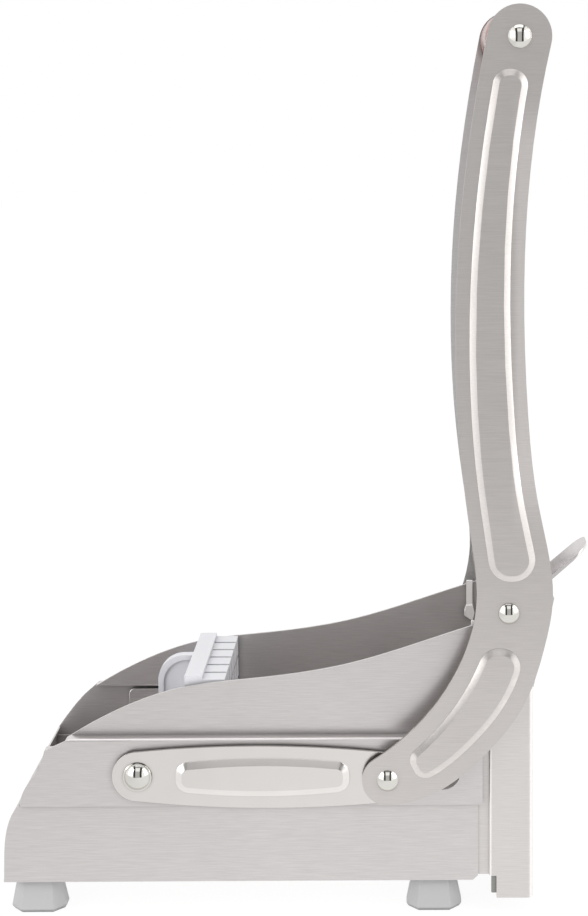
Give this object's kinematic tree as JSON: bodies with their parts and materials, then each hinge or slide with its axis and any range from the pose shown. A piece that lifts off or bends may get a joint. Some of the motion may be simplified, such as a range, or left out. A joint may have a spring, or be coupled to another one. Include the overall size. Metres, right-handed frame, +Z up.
{
  "type": "lever vegetable dicer",
  "caption": "Lever-operated steel vegetable dicer: long arms swing down, links pull a toothed pusher along slotted walls and press food through a removable blade grid.",
  "frame": {"origin": "on the supporting surface, on the symmetry plane, midway between the front toe of the tray and the tip of the lift tab", "axes": "+Z up, +X along the chute from the front apron to the blade grid, +Y from the near side to the far side"},
  "size_m": [0.2856, 0.101, 0.4375],
  "materials": {
    "satin_sheet": "brushed stainless sheet",
    "pressed_arm": "satin stainless plate",
    "link_plate": "satin stainless plate",
    "rivet_chrome": "polished steel",
    "grip_wood": "stained and lacquered",
    "pusher_plastic": "moulded, slightly translucent",
    "foot_plastic": "moulded",
    "slider_nylon": "turned nylon",
    "blade_steel": "ground and polished",
    "screw_steel": "plated",
    "clip_steel": "spring sheet"
  },
  "bodies": {
    "body": {"base_tray": "satin_sheet", "front_apron": "satin_sheet", "chute_deck": "satin_sheet", "end_frame": "satin_sheet", "foot_screws": "screw_steel", "side_panel_near": "satin_sheet", "side_panel_far": "satin_sheet", "cassette_guide_near": "satin_sheet", "cassette_guide_far": "satin_sheet", "retaining_clip_near": "clip_steel", "retaining_clip_far": "clip_steel", "pivot_pin_near": "rivet_chrome", "pivot_pin_far": "rivet_chrome", "pivot_bush_near": "slider_nylon", "pivot_bush_far": "slider_nylon", "foot_front_near": "foot_plastic", "foot_front_far": "foot_plastic", "foot_rear_near": "foot_plastic", "foot_rear_far": "foot_plastic"},
    "lever": {"grip": "grip_wood", "grip_screws": "rivet_chrome", "lever_arm_near": "pressed_arm", "lever_arm_far": "pressed_arm", "link_rivet_near": "rivet_chrome", "link_rivet_far": "rivet_chrome"},
    "carriage": {"carriage_bracket": "satin_sheet", "pusher_block": "pusher_plastic", "pusher_screws": "screw_steel", "slide_pin_near": "rivet_chrome", "slide_pin_far": "rivet_chrome", "pin_washer_near": "rivet_chrome", "pin_washer_far": "rivet_chrome", "slot_roller_near": "slider_nylon", "slot_roller_far": "slider_nylon"},
    "link_near": {"link_plate_near": "link_plate", "link_tail_near": "screw_steel"},
    "link_far": {"link_plate_far": "link_plate", "link_tail_far": "screw_steel"},
    "cassette": {"cassette_frame": "blade_steel", "blades_upright": "blade_steel", "blades_level": "blade_steel", "lift_tab": "satin_sheet", "tab_rivets": "screw_steel"}
  },
  "joints": [
    {"name": "lever_press", "type": "hinge", "parent": "body", "child": "lever", "pos_m": [0.1019, 0, 0.152], "axis": [0, -1, 0], "range_deg": [0, 93.5]},
    {"name": "carriage_slide", "type": "slide", "parent": "body", "child": "carriage", "axis": [1, 0, 0], "range_m": [0, 0.1465]},
    {"name": "link_near_turn", "type": "hinge", "parent": "carriage", "child": "link_near", "pos_m": [-0.0762, -0.0434, 0.0713], "axis": [0, -1, 0], "range_deg": [0, 14.1]},
    {"name": "link_far_turn", "type": "hinge", "parent": "carriage", "child": "link_far", "pos_m": [-0.0762, 0.0434, 0.0713], "axis": [0, -1, 0], "range_deg": [0, 14.1]},
    {"name": "cassette_lift", "type": "slide", "parent": "body", "child": "cassette", "axis": [0, 0, 1], "range_m": [0, 0.13]}
  ],
  "couplings": [
    {"joint": "carriage_slide", "follows": "lever_press", "m_per_rad": 0.089712},
    {"joint": "link_near_turn", "follows": "lever_press", "ratio": 0.1486},
    {"joint": "link_far_turn", "follows": "lever_press", "ratio": 0.1486}
  ]
}
